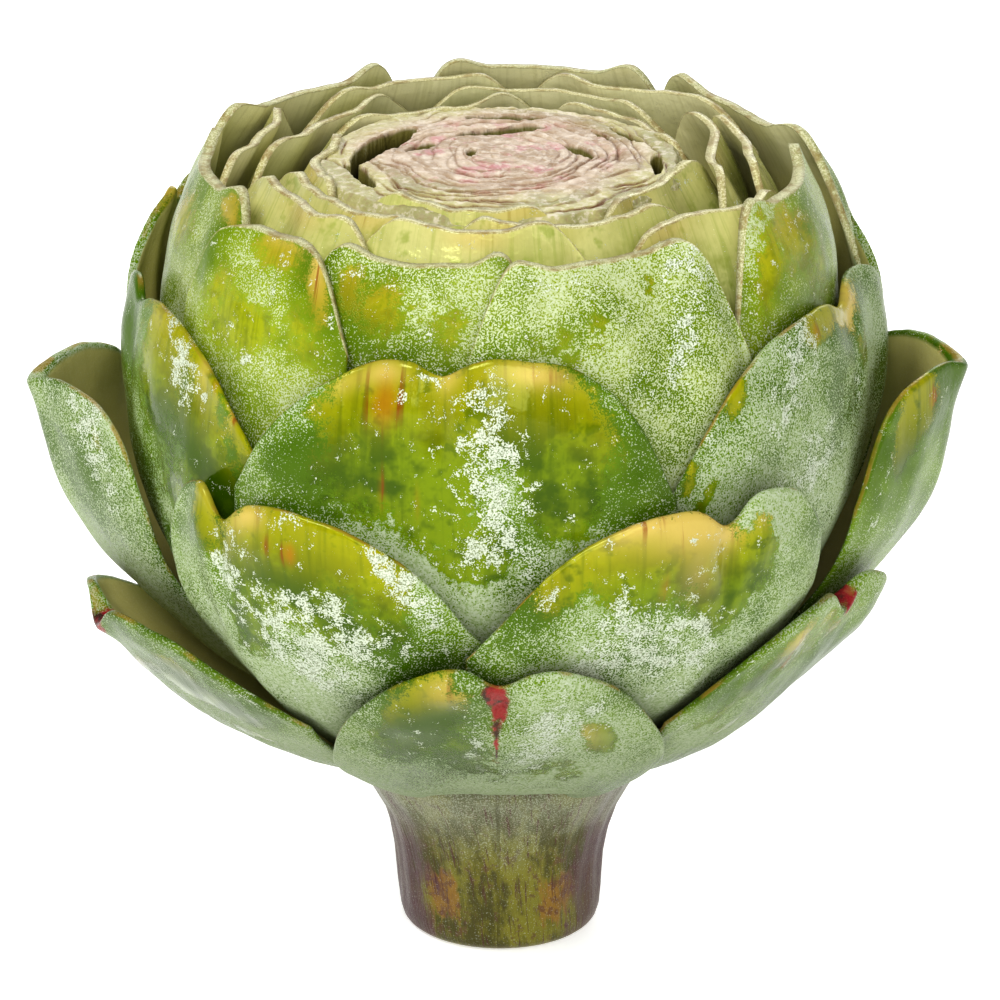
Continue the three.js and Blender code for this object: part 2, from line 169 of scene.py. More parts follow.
def ribs_of(node):
    """The ribs of a leaf's solid: bearing of each column, and latitude and reach of both faces up it."""
    points = vertices_of(node) - [0, 0, HEAD_Z]
    bearing, latitude, reach = locate(points)
    middle = np.degrees(np.arctan2(points[:, 0].mean(), -points[:, 1].mean()))
    bearing = (bearing - middle + 180) % 360 - 180
    order = np.argsort(bearing)
    splits = np.nonzero(np.diff(bearing[order]) > 0.12)[0] + 1
    columns = []
    for column in np.split(order, splits):
        column = column[np.argsort(latitude[column])].reshape(-1, 2)
        outside = np.take_along_axis(column, reach[column].argmax(1)[:, None], 1)[:, 0]
        inside = np.take_along_axis(column, reach[column].argmin(1)[:, None], 1)[:, 0]
        columns.append([latitude[outside], reach[outside], latitude[inside], reach[inside]])
    bearings = np.array([bearing[column].mean() for column in np.split(order, splits)])
    return bearings + middle, np.array(columns)


def hermite(knots, values, at):
    """Smooth curve through values at uneven knots along axis 0, read at the given places."""
    slope = np.gradient(values, knots, axis=0)
    i = np.clip(np.searchsorted(knots, at, side="right") - 1, 0, len(knots) - 2)
    h = (knots[i + 1] - knots[i]).reshape(-1, *[1] * (values.ndim - 1))
    t = ((at - knots[i]).reshape(h.shape)) / h
    a = values[i] * (1 + 2 * t) * (1 - t) ** 2 + values[i + 1] * t * t * (3 - 2 * t)
    return a + h * (slope[i] * t * (1 - t) ** 2 - slope[i + 1] * t * t * (1 - t))


# Marks on the bracts that face the front: bare rubbed skin (r), white bloom (b), tan (t) or dark red (d).
# These were read in the photo: each with its middle in pixels from the left and from the top, its
# radii aside and up in pixels, and its strength. marks_seen works out their places on the leaf.
SEEN_MARKS = {
    "upper_bract_6": [
        ("r", 370, 450, 50, 55, 1.0), ("r", 430, 400, 60, 45, 1.0), ("r", 430, 490, 60, 50, 1.0),
        ("r", 520, 400, 70, 45, 1.0), ("r", 565, 440, 45, 50, 1.0), ("r", 560, 510, 35, 40, 0.8),
        ("r", 480, 560, 35, 35, 0.8), ("r", 370, 390, 45, 30, 0.9), ("b", 478, 400, 26, 30, 1.0),
        ("b", 490, 450, 30, 32, 1.1), ("b", 497, 505, 34, 32, 1.2), ("b", 480, 550, 30, 26, 0.9),
        ("b", 530, 560, 26, 16, 0.7), ("b", 430, 378, 16, 7, 0.7), ("b", 404, 395, 10, 12, 0.5),
        ("b", 590, 470, 10, 24, 0.4), ("b", 545, 392, 24, 8, 0.5), ("t", 384, 372, 20, 12, 0.8),
        ("t", 535, 373, 34, 12, 0.9), ("t", 450, 372, 12, 16, 0.7), ("t", 340, 385, 20, 12, 0.4),
        ("d", 382, 500, 6, 28, 0.35), ("d", 416, 505, 5, 26, 0.35),
    ],
    "middle_bract_5": [
        ("r", 205, 510, 22, 40, 0.9), ("r", 250, 540, 30, 40, 0.9), ("r", 300, 540, 50, 30, 1.0),
        ("r", 360, 560, 50, 35, 1.0), ("r", 300, 600, 40, 40, 0.8), ("r", 390, 610, 30, 40, 0.7),
        ("r", 250, 620, 22, 40, 0.8), ("r", 350, 640, 40, 30, 0.6), ("b", 225, 570, 22, 40, 0.8),
        ("b", 270, 620, 26, 40, 0.9), ("b", 310, 640, 30, 34, 1.0), ("b", 330, 605, 26, 20, 0.7),
        ("b", 395, 580, 34, 24, 0.9), ("b", 370, 650, 40, 30, 1.0), ("b", 420, 620, 30, 26, 0.8),
        ("b", 320, 680, 40, 26, 0.9), ("b", 385, 540, 20, 12, 0.6), ("b", 300, 515, 30, 9, 0.5),
        ("t", 248, 515, 16, 14, 0.9), ("t", 205, 490, 14, 10, 0.3), ("d", 292, 555, 8, 14, 0.6),
        ("d", 272, 545, 4, 12, 0.4),
    ],
    "middle_bract_6": [
        ("r", 590, 550, 45, 35, 1.0), ("r", 690, 540, 60, 35, 1.0), ("r", 720, 600, 36, 45, 0.9),
        ("r", 640, 580, 40, 40, 0.9), ("r", 560, 580, 30, 30, 0.7), ("r", 760, 560, 20, 40, 0.7),
        ("b", 650, 650, 50, 36, 1.2), ("b", 600, 660, 36, 30, 0.9), ("b", 700, 640, 26, 30, 0.8),
        ("b", 620, 620, 30, 16, 0.7), ("b", 725, 560, 24, 20, 0.4), ("b", 545, 600, 20, 16, 0.6),
        ("b", 690, 690, 40, 20, 0.5), ("t", 640, 528, 36, 14, 0.9), ("t", 690, 530, 44, 22, 1.0),
        ("t", 735, 520, 22, 18, 0.9), ("t", 765, 510, 14, 14, 0.7), ("t", 700, 575, 20, 26, 0.4),
        ("d", 660, 590, 5, 22, 0.5), ("d", 745, 535, 8, 14, 0.3),
    ],
    "collar_bract_5": [
        ("r", 430, 710, 34, 32, 1.0), ("r", 400, 740, 26, 26, 0.9), ("r", 470, 760, 30, 24, 0.6),
        ("r", 600, 748, 14, 12, 0.6), ("r", 555, 770, 40, 14, 0.5), ("b", 550, 730, 36, 24, 1.1),
        ("b", 530, 760, 30, 16, 0.7), ("b", 470, 735, 16, 24, 0.7), ("b", 590, 715, 20, 12, 0.7),
        ("b", 420, 745, 14, 20, 0.4), ("t", 450, 690, 26, 14, 0.7), ("t", 540, 705, 34, 14, 0.7),
        ("t", 560, 735, 30, 22, 0.5),
    ],
    "upper_bract_2": [
        ("r", 190, 310, 36, 26, 1.0), ("r", 160, 380, 26, 50, 1.0), ("r", 220, 370, 26, 40, 1.0),
        ("r", 205, 450, 44, 44, 1.0), ("r", 180, 500, 30, 30, 0.8), ("r", 240, 420, 22, 30, 0.7),
        ("b", 180, 330, 28, 26, 0.9), ("b", 185, 380, 24, 30, 0.9), ("b", 205, 410, 18, 18, 0.6),
        ("b", 200, 305, 20, 8, 0.6), ("b", 175, 510, 20, 16, 0.5), ("b", 190, 540, 20, 20, 0.7),
        ("t", 150, 280, 14, 16, 0.6), ("t", 215, 360, 10, 30, 0.5), ("t", 255, 400, 8, 10, 0.5),
        ("t", 160, 310, 16, 16, 0.3), ("d", 240, 378, 5, 18, 0.45), ("d", 258, 402, 6, 7, 0.5),
    ],
    "upper_bract_3": [
        ("r", 735, 395, 14, 24, 1.0), ("r", 845, 310, 26, 24, 0.9), ("r", 860, 350, 12, 24, 0.6),
        ("r", 690, 480, 24, 20, 0.6), ("r", 815, 330, 14, 20, 0.6), ("r", 700, 510, 30, 16, 0.6),
        ("b", 800, 330, 26, 26, 0.9), ("b", 790, 390, 30, 34, 0.8), ("b", 815, 460, 34, 34, 1.1),
        ("b", 845, 490, 20, 30, 0.9), ("b", 770, 440, 26, 26, 0.5), ("b", 860, 400, 12, 36, 0.7),
        ("t", 850, 300, 18, 22, 0.9), ("t", 845, 330, 14, 18, 0.5), ("t", 800, 320, 14, 8, 0.3),
        ("d", 815, 330, 4, 9, 0.5),
    ],
    "crown_bract_7": [
        ("r", 320, 290, 20, 40, 0.9), ("r", 280, 250, 26, 20, 0.8), ("r", 300, 340, 24, 26, 0.6),
        ("r", 250, 330, 20, 16, 0.5), ("b", 270, 290, 20, 26, 0.5), ("b", 245, 350, 24, 20, 0.5),
        ("b", 330, 330, 10, 30, 0.5), ("t", 318, 270, 12, 24, 0.7), ("t", 290, 236, 26, 8, 0.5),
        ("d", 318, 296, 8, 22, 0.25),
    ],
    "crown_bract_1": [
        ("r", 380, 310, 30, 34, 0.7), ("r", 450, 330, 20, 26, 0.5), ("r", 345, 300, 10, 24, 0.6),
        ("b", 400, 285, 34, 12, 0.4), ("b", 430, 340, 26, 20, 0.4), ("t", 400, 272, 50, 6, 0.5),
        ("t", 480, 275, 14, 8, 0.5),
    ],
    "crown_bract_8": [
        ("r", 560, 350, 30, 26, 0.4), ("r", 600, 330, 16, 20, 0.35), ("r", 650, 290, 8, 20, 0.4),
        ("b", 690, 270, 22, 40, 1.0), ("b", 680, 340, 22, 40, 0.9), ("b", 655, 390, 26, 24, 0.6),
        ("b", 700, 230, 18, 12, 0.8), ("b", 725, 250, 12, 20, 0.6), ("b", 560, 290, 40, 14, 0.3),
        ("t", 560, 268, 60, 6, 0.6), ("t", 660, 262, 16, 10, 0.6),
    ],
    "crown_bract_4": [
        ("r", 790, 240, 30, 40, 0.7), ("r", 770, 280, 14, 24, 0.7), ("r", 820, 270, 16, 26, 0.4),
        ("b", 800, 200, 16, 20, 0.5), ("b", 780, 310, 16, 16, 0.4), ("t", 780, 196, 30, 6, 0.5),
        ("d", 760, 210, 4, 8, 0.2),
    ],
    "crown_bract_3": [
        ("r", 180, 220, 16, 24, 0.8), ("r", 230, 215, 14, 18, 0.8), ("r", 200, 260, 16, 14, 0.6),
        ("r", 160, 250, 10, 20, 0.5), ("b", 205, 215, 10, 20, 0.5), ("b", 250, 280, 16, 16, 0.6),
        ("b", 170, 200, 8, 12, 0.5), ("t", 190, 196, 26, 8, 0.5), ("t", 225, 225, 10, 14, 0.5),
        ("t", 150, 245, 8, 12, 0.3),
    ],
    "middle_bract_3": [
        ("r", 68, 410, 8, 14, 0.9), ("r", 95, 440, 10, 18, 0.6), ("r", 75, 480, 6, 20, 0.4),
        ("b", 85, 410, 20, 24, 0.9), ("b", 90, 450, 22, 30, 0.8), ("b", 50, 370, 12, 10, 0.8),
        ("b", 110, 500, 24, 30, 0.6), ("t", 40, 358, 12, 10, 0.7), ("t", 60, 375, 10, 8, 0.4),
    ],
    "middle_bract_4": [
        ("r", 940, 380, 12, 34, 1.0), ("r", 910, 420, 18, 30, 1.0), ("r", 925, 400, 14, 30, 0.9),
        ("r", 900, 460, 16, 24, 0.7), ("b", 925, 470, 16, 40, 0.6), ("b", 880, 500, 20, 30, 0.6),
        ("b", 935, 350, 8, 14, 0.5), ("b", 890, 540, 20, 24, 0.6), ("t", 948, 345, 12, 20, 1.0),
        ("t", 930, 370, 12, 24, 0.6), ("d", 930, 400, 6, 14, 0.5), ("d", 950, 365, 5, 18, 0.3),
    ],
    "collar_bract_3": [
        ("r", 140, 665, 16, 14, 1.0), ("r", 190, 690, 30, 14, 1.0), ("r", 240, 715, 30, 14, 0.9),
        ("r", 160, 640, 14, 10, 0.5), ("b", 170, 645, 26, 10, 1.0), ("b", 120, 625, 14, 12, 0.9),
        ("b", 210, 670, 26, 10, 0.9), ("b", 250, 700, 26, 9, 0.8), ("b", 200, 715, 14, 8, 0.6),
        ("b", 125, 650, 10, 6, 0.6), ("t", 108, 640, 10, 12, 0.7), ("t", 130, 665, 14, 8, 0.4),
    ],
    "collar_bract_4": [
        ("r", 790, 650, 26, 18, 0.7), ("r", 750, 690, 24, 14, 0.7), ("r", 830, 620, 20, 14, 0.5),
        ("r", 710, 720, 26, 10, 0.5), ("b", 760, 650, 20, 10, 0.4), ("b", 820, 640, 16, 12, 0.4),
        ("b", 840, 600, 16, 8, 0.4), ("t", 800, 640, 14, 14, 0.6), ("t", 860, 600, 14, 14, 0.7),
        ("d", 788, 662, 4, 12, 0.7),
    ],
}

# Marks added later, each with its place across the leaf from -1 to 1, its place up it from 0 to 1, its radii
# in the same measures, and its strength.
PLACED_MARKS = {
    "upper_bract_6": [
        ("d", -0.25, 0.93, 0.09, 0.05, 0.6), ("r", -0.04, 0.78, 0.10, 0.05, 0.8),
        ("r", 0.13, 0.67, 0.12, 0.03, 0.6), ("r", 0.50, 0.82, 0.08, 0.07, 0.7),
    ],
    "collar_bract_5": [
        ("d", -0.02, 0.97, 0.09, 0.05, 1.15), ("d", 0.00, 0.90, 0.05, 0.07, 1.1),
        ("d", -0.02, 0.80, 0.04, 0.07, 1.05), ("d", -0.02, 0.68, 0.02, 0.08, 0.9),
        ("t", 0.28, 0.76, 0.19, 0.11, 0.5), ("r", 0.47, 0.79, 0.10, 0.05, 0.8),
    ],
    "upper_bract_2": [
        ("r", 0.70, 0.82, 0.11, 0.06, 0.9), ("r", 0.92, 0.95, 0.06, 0.07, 0.7),
    ],
    "crown_bract_7": [
        ("r", -0.12, 0.82, 0.36, 0.05, 0.8), ("r", -0.48, 0.88, 0.16, 0.04, 0.5),
    ],
    "middle_bract_4": [
        ("r", 0.26, 0.78, 0.19, 0.09, 0.9), ("r", 0.21, 0.88, 0.15, 0.08, 0.8),
        ("d", 0.05, 0.98, 0.07, 0.04, 0.8),
    ],
    "collar_bract_3": [
        ("d", 0.01, 0.99, 0.10, 0.05, 1.3), ("r", 0.48, 0.79, 0.18, 0.06, 0.9),
        ("r", 0.51, 0.56, 0.17, 0.04, 0.7), ("r", 0.39, 0.88, 0.09, 0.05, 0.7),
    ],
    "collar_bract_4": [
        ("d", 0.03, 0.99, 0.10, 0.05, 1.3), ("r", 0.68, 0.48, 0.44, 0.07, 0.8),
        ("r", -0.50, 0.57, 0.15, 0.06, 0.6), ("r", -0.24, 0.82, 0.18, 0.05, 0.6),
    ],
}

# The even chart that marks are looked up on: its places each way, and how many of them to each side give the
# local scale.
CHART = 121
CHART_REACH = 3

# Share of the skin that the fine grains of bloom cover, where it isn't wiped.
VEILS = {
    "upper_bract_6": 0.34,
    "upper_bract_2": 0.14,
    "upper_bract_3": 0.5,
    "middle_bract_5": 0.38,
    "middle_bract_6": 0.4,
    "middle_bract_3": 0.5,
    "middle_bract_4": 0.1,
    "collar_bract_5": 0.42,
    "collar_bract_3": 0.3,
    "collar_bract_4": 0.2,
    "crown_bract_7": 0.2,
    "crown_bract_1": 0.45,
    "crown_bract_8": 0.52,
    "crown_bract_4": 0.3,
    "crown_bract_3": 0.3,
}

# The shape of the tips: how deep the crease below the notch is, how far the two lobes swell, and how thick a
# fleshy point gets, in mm. Leaves that aren't listed take the first entry.
TIPS = {
    "usual": (0.7, 0.5, 0.0),
    "upper_bract_6": (1.2, 1.0, 0.0),
    "middle_bract_5": (1.3, 1.0, 0.0),
    "middle_bract_6": (1.3, 1.1, 0.0),
    "collar_bract_5": (1.2, 1.0, 0.0),
    "collar_bract_3": (0.1, 0.3, 1.1),
    "collar_bract_4": (0.1, 0.3, 1.0),
    "middle_bract_3": (0.2, 0.4, 0.7),
    "middle_bract_4": (0.2, 0.4, 0.7),
}


def grid_faces(rows, columns, first):
    """Quads of a grid of points numbered row by row."""
    i = np.arange(rows - 1)[:, None] * columns + np.arange(columns - 1)[None, :] + first
    return np.stack([i, i + columns, i + columns + 1, i + 1], -1).reshape(-1, 4)


def ring_faces(rows, turns):
    """Quads between rings of points numbered ring by ring, each ring closed on itself."""
    i = np.arange(rows - 1)[:, None] * turns
    j = np.arange(turns)[None, :]
    k = (j + 1) % turns
    return np.stack([i + j, i + turns + j, i + turns + k, i + k], -1).reshape(-1, 4)


def fan(centre, first, turns):
    """Triangles from a centre point to each side of a ring whose points are numbered from first."""
    j = np.arange(turns)
    return np.stack([np.full_like(j, centre), first + j, first + (j + 1) % turns], -1)


def new_piece(name, points, faces, node, material, layers, chart):
    """A mesh object from points in mm and faces, with point attributes, a UV chart and smooth faces."""
    mesh = bpy.data.meshes.new(name)
    mesh.vertices.add(len(points))
    mesh.vertices.foreach_set("co", (points * MM).astype(np.float32).ravel())
    mesh.loops.add(faces.size)
    mesh.loops.foreach_set("vertex_index", faces.astype(np.int32).ravel())
    mesh.polygons.add(len(faces))
    mesh.polygons.foreach_set("loop_start", np.arange(0, faces.size, faces.shape[1], dtype=np.int32))
    mesh.update(calc_edges=True)
    mesh.polygons.foreach_set("use_smooth", np.ones(len(faces), dtype=bool))
    for key, values in layers.items():
        layer = mesh.color_attributes.new(key, "FLOAT_COLOR", "POINT")
        layer.data.foreach_set("color", np.clip(values, 0, 1).astype(np.float32).ravel())
    uv = mesh.uv_layers.new(name="chart")
    uv.data.foreach_set("uv", chart[faces.ravel()].astype(np.float32).ravel())
    mesh.validate()
    piece = bpy.data.objects.new(name, mesh)
    piece.data.materials.append(material)
    bpy.context.scene.collection.objects.link(piece)
    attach(piece, "root")
    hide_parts(node)


def across_of(at, bearings):
    """Place across a leaf: -1 at its left margin, 0 on its middle rib and 1 at its right margin."""
    tip_at = bearings[len(bearings) // 2]
    left = (at - tip_at) / (tip_at - bearings[0])
    right = (at - tip_at) / (bearings[-1] - tip_at)
    return np.where(at < tip_at, left, right)


def seen_at(points):
    """Pixels from the left and from the top at which the camera sees points in mm from the foot: their
    offsets across and down its view, times the zoom, over their depth."""
    offset = points * MM - AIM
    depth = DISTANCE - offset @ [0, -math.cos(RISE), math.sin(RISE)]
    zoom = PHOTO_WIDTH * LENS / SENSOR
    middle = PHOTO_WIDTH / 2
    down = offset @ [0, -math.sin(RISE), -math.cos(RISE)]
    return np.stack([middle + zoom * offset[..., 0] / depth, middle + zoom * down / depth], -1)


def marks_seen(node, bearings, columns):
    """Marks read in the photo, as marks on the leaf. Each goes to the place on an even chart of the outer
    face, drawn straight between its ribs, that the camera sees nearest to it, and its radii are divided by
    the pixels that one unit across and one unit up take there. All are kept to hundredths."""
    at = np.linspace(bearings[0], bearings[-1], CHART)
    up = np.linspace(0, 1, CHART)
    rows = np.linspace(0, 1, columns.shape[2])
    faces = []
    for face in (columns[:, 0], columns[:, 1]):
        ribs = np.array([np.interp(up, rows, rib) for rib in face])
        faces.append(np.array([np.interp(at, bearings, level) for level in ribs.T]).T)
    seen = seen_at(place(np.repeat(at[:, None], CHART, 1), *faces) + [0, 0, HEAD_Z])
    across = across_of(at, bearings)
    marks = []
    for kind, x, y, aside, upward, strength in SEEN_MARKS[node]:
        i, j = np.unravel_index(np.linalg.norm(seen - [x, y], axis=-1).argmin(), (CHART, CHART))
        a, b = np.clip([i, j], CHART_REACH, CHART - 1 - CHART_REACH)
        a0, a1, b0, b1 = a - CHART_REACH, a + CHART_REACH, b - CHART_REACH, b + CHART_REACH
        per_across = np.linalg.norm(seen[a1, b] - seen[a0, b]) / (across[a1] - across[a0])
        per_up = np.linalg.norm(seen[a, b1] - seen[a, b0]) / (up[b1] - up[b0])
        spot = (across[i], up[j], aside / per_across, upward / per_up)
        marks.append((kind, *(round(float(value), 2) for value in spot), strength))
    return marks


def marks_of(node, seed, bearings, columns):
    """A leaf's marks. The inner leaves are bare with a tan tip, the leaves behind get a few bare patches and
    bloom between them, drawn from a seed, and the others get those of the photo."""
    if "inner" in node:
        return [("r", 0, 0.9, 3, 0.6, 1.0), ("t", (seed * 0.37) % 1 - 0.5, 0.99, 0.25, 0.03, 0.6)]
    if node in SEEN_MARKS:
        return marks_seen(node, bearings, columns) + PLACED_MARKS.get(node, [])
    random = np.random.default_rng(seed)

    def scattered(kind, count, low, high, radii):
        """Marks of one kind at random places between two corners, with random radii."""
        return [(kind, *random.uniform(low, high), *random.uniform(*radii, 2), 0.9) for _ in range(count)]

    marks = scattered("r", 5, (-0.6, 0.72), (0.6, 0.95), (0.1, 0.26))
    marks += scattered("b", 6, (-0.7, 0.6), (0.7, 0.98), (0.05, 0.13))
    return marks + [("t", random.uniform(-0.4, 0.4), 0.98, 0.2, 0.03, 0.7)]


def paint_of(marks, u, v):
    """Bare skin, white bloom, tan and dark red over a leaf: for each, the sum of its marks as soft round
    spots, strength times e to the minus squared distance in radii, and at most 1."""
    fields = {kind: np.zeros_like(u) for kind in "rbtd"}
    for kind, cu, cv, ru, rv, strength in marks:
        fields[kind] += strength * np.exp(-(((u - cu) / ru) ** 2) - ((v - cv) / rv) ** 2)
    return np.stack([np.minimum(fields[kind], 1).ravel() for kind in "rbtd"], -1)


def leaf_piece(node, material, seed, is_cut, across_count, up_count):
    """A leaf from its solid's ribs. Smooth curves through the ribs give both faces on a fine grid that is
    closer set towards the margins. To the outer face are added a crease and two swellings at the tip, fine
    veins that run up the leaf, and a slow unevenness; a cut leaf has a flat, slightly ragged upper edge.
    Both faces draw together over the last mm before a free margin, so the margin is round."""
    crease_depth, lobe_swell, point_swell = TIPS.get(node, TIPS["usual"])
    bearings, columns = ribs_of(node)
    t = np.linspace(0, 1, across_count)
    across = 0.35 * t + 0.65 * (0.5 - 0.5 * np.cos(np.pi * t))
    t = np.linspace(0, 1, up_count)
    up = 1 - (1 - t) ** 1.7
    at = bearings[0] + across * (bearings[-1] - bearings[0])
    fine = hermite(bearings, columns, at)
    rows = np.linspace(0, 1, columns.shape[2])
    fine = hermite(rows, np.moveaxis(fine, 2, 0), up)
    lat_out, out, lat_in, inn = np.moveaxis(fine, 2, 0).transpose(0, 2, 1)
    bearing = np.repeat(at[:, None], up_count, 1)
    u = np.repeat(across_of(at, bearings)[:, None], up_count, 1)
    v = np.repeat(up[None, :], across_count, 0)
    flat = place(bearing, lat_out, out).reshape(-1, 3)
    relief = lattice_noise(flat, 9.0, seed).reshape(u.shape) * 0.3
    relief += lattice_noise(flat, 3.0, seed + 1).reshape(u.shape) * 0.12
    vein_at = np.stack([bearing * 0.9, v * 3 + seed, np.zeros_like(v)], -1).reshape(-1, 3)
    relief += lattice_noise(vein_at, 1.6, seed + 2).reshape(u.shape) * 0.08
    swell = 0
    if not is_cut:
        crease = np.exp(-((u / 0.055) ** 2)) * smooth_step(0.74, 0.97, v)
        lobes = np.exp(-(((np.abs(u) - 0.24) / 0.17) ** 2)) * np.exp(-(((v - 0.94) / 0.08) ** 2))
        relief += lobe_swell * lobes - crease_depth * crease
        relief += lattice_noise(flat, 4.5, seed + 5).reshape(u.shape) * 0.3 * smooth_step(0.7, 0.95, v)
        swell = point_swell * np.exp(-((u / 0.1) ** 2)) * np.exp(-(((1 - v) / 0.06) ** 2))
    relief *= np.minimum(1, 6 * (1 - np.abs(u))) * np.minimum(1, 9 * (1 - v) + 0.25)
    ragged_at = np.stack([bearing[:, 0], np.full(len(at), seed * 3.1), at * 0], -1)
    ragged = lattice_noise(ragged_at, 5.0, seed + 3) * 0.3 + lattice_noise(ragged_at, 1.7, seed + 4) * 0.08
    frayed = ragged[:, None] * (v**14 + 2 * (1 - v) ** 24)
    lat_out = lat_out + frayed
    lat_in = lat_in + frayed
    side_mm = (1 - np.abs(u)) * 0.375 * (bearings[-1] - bearings[0])
    top_mm = (lat_out[:, -1:] - lat_out) * 0.85
    edge = side_mm if is_cut else np.minimum(side_mm, top_mm)
    roundness = np.sqrt(np.clip(1 - (1 - np.clip(edge, 0, 1)) ** 2, 0, 1))
    middle = (out + inn) / 2
    half = (out - inn) / 2 * (0.2 + 0.8 * roundness) + swell * roundness
    outer = place(bearing, lat_out, middle + half + relief)
    inner = place(bearing, lat_in, middle - half + relief * smooth_step(0.0, 1.0, v) * 0.6)
    n = across_count * up_count
    points = np.concatenate([outer.reshape(-1, 3), inner.reshape(-1, 3)]) + [0, 0, HEAD_Z]
    front = grid_faces(across_count, up_count, 0)
    back = grid_faces(across_count, up_count, n)[:, ::-1]
    ring = np.concatenate(
        [
            np.arange(0, n, up_count),
            np.arange(n - up_count + 1, n),
            np.arange(n - 1 - up_count, -1, -up_count),
            np.arange(up_count - 2, 0, -1),
        ]
    )
    after = np.roll(ring, -1)
    faces = np.concatenate([front, back, np.stack([ring, ring + n, after + n, after], -1)])
    marks = marks_of(node, seed, bearings, columns)
    paint = np.tile(paint_of(marks, u, v), (2, 1))
    seeded = np.full(n, seed * 0.6180339 % 1)
    margin_mm = np.clip(np.minimum(side_mm, top_mm), 0, 10)
    where = np.stack([u.ravel() * 0.5 + 0.5, v.ravel(), margin_mm.ravel() / 10, seeded], -1)
    outside = np.concatenate([np.ones(n), smooth_step(1.0, 0.4, edge).ravel()])
    below_top = np.tile(np.clip(top_mm, 0, 20).ravel() / 20, 2)
    veil = VEILS.get(node, 0.04 if "inner" in node else 0.4)
    veil = np.tile((veil + 0.3 * smooth_step(0.85, 0.5, v)).ravel(), 2)
    # The last channel, height, marks how far up the head a point is; the skin is painted darker below as
    # shade.
    height = smooth_step(26, 62, points[:, 2])
    side = np.stack([outside, below_top, veil, height], -1)
    layers = {"paint": paint, "where": np.tile(where, (2, 1)), "side": side}
    chart = np.stack([np.tile(u.ravel() * 0.5 + 0.5, 2), np.tile(v.ravel(), 2)], -1)
    new_piece("leaf_" + node, points, faces, node, material, layers, chart)


class Nodes:
    """Short hand for building a material's node tree."""

    def __init__(self, name):
        """A material with its Principled shader at hand as skin."""
        self.material = bpy.data.materials.new(name)
        self.material.use_nodes = True
        self.tree = self.material.node_tree
        self.skin = self.tree.nodes["Principled BSDF"]

    def add(self, kind, **settings):
        """A node of a kind, with settings."""
        node = self.tree.nodes.new(kind)
        for key, value in settings.items():
            setattr(node, key, value)
        return node

    def feed(self, socket, value):
        """Links a socket to another, or sets it to a constant."""
        if isinstance(value, bpy.types.NodeSocket):
            self.tree.links.new(value, socket)
        elif value is not None:
            socket.default_value = value

    def math(self, operation, a, b):
        """An operation on two values."""
        node = self.add("ShaderNodeMath", operation=operation)
        self.feed(node.inputs[0], a)
        self.feed(node.inputs[1], b)
        return node.outputs[0]

    def noise(self, vector, scale, detail=2.0, roughness=0.5):
        """Noise from 0 to 1 at a place, with cells of about 1 / scale metres."""
        node = self.add("ShaderNodeTexNoise")
        self.feed(node.inputs["Vector"], vector)
        node.inputs["Scale"].default_value = scale
        node.inputs["Detail"].default_value = detail
        node.inputs["Roughness"].default_value = roughness
        return node.outputs["Fac"]

    def step(self, value, low, high):
        """0 where the value is low, 1 where it is high, and smooth between."""
        node = self.add("ShaderNodeMapRange", interpolation_type="SMOOTHSTEP")
        self.feed(node.inputs["Value"], value)
        self.feed(node.inputs["From Min"], low)
        self.feed(node.inputs["From Max"], high)
        return node.outputs["Result"]

    def blend(self, factor, a, b):
        """Colour a where the factor is 0 and colour b where it is 1."""
        node = self.add("ShaderNodeMix", data_type="RGBA")
        self.feed(node.inputs["Factor"], factor)
        self.feed(node.inputs[6], a)
        self.feed(node.inputs[7], b)
        return node.outputs[2]

    def layer(self, name):
        """The four channels of a point attribute."""
        node = self.add("ShaderNodeAttribute", attribute_type="GEOMETRY", attribute_name=name)
        split = self.add("ShaderNodeSeparateColor")
        self.feed(split.inputs[0], node.outputs["Color"])
        return [*split.outputs, node.outputs["Alpha"]]

    def bump(self, height, strength, distance):
        """Fine relief of a height, on the skin's normal."""
        node = self.add("ShaderNodeBump")
        node.inputs["Strength"].default_value = strength
        node.inputs["Distance"].default_value = distance
        self.feed(node.inputs["Height"], height)
        self.feed(self.skin.inputs["Normal"], node.outputs["Normal"])


def colour(red, green, blue):
    """A display colour of 0 to 255 as linear values with full alpha."""
    values = np.array([red, green, blue]) / 255
    linear = np.where(values <= 0.04045, values / 12.92, ((values + 0.055) / 1.055) ** 2.4)
    return (*map(float, linear), 1.0)


def plus(n, *terms):
    """Sum of sockets or numbers, with each (socket, factor) pair multiplied first."""
    total = None
    for term in terms:
        if isinstance(term, tuple):
            term = n.math("MULTIPLY", *term)
        total = term if total is None else n.math("ADD", total, term)
    return total


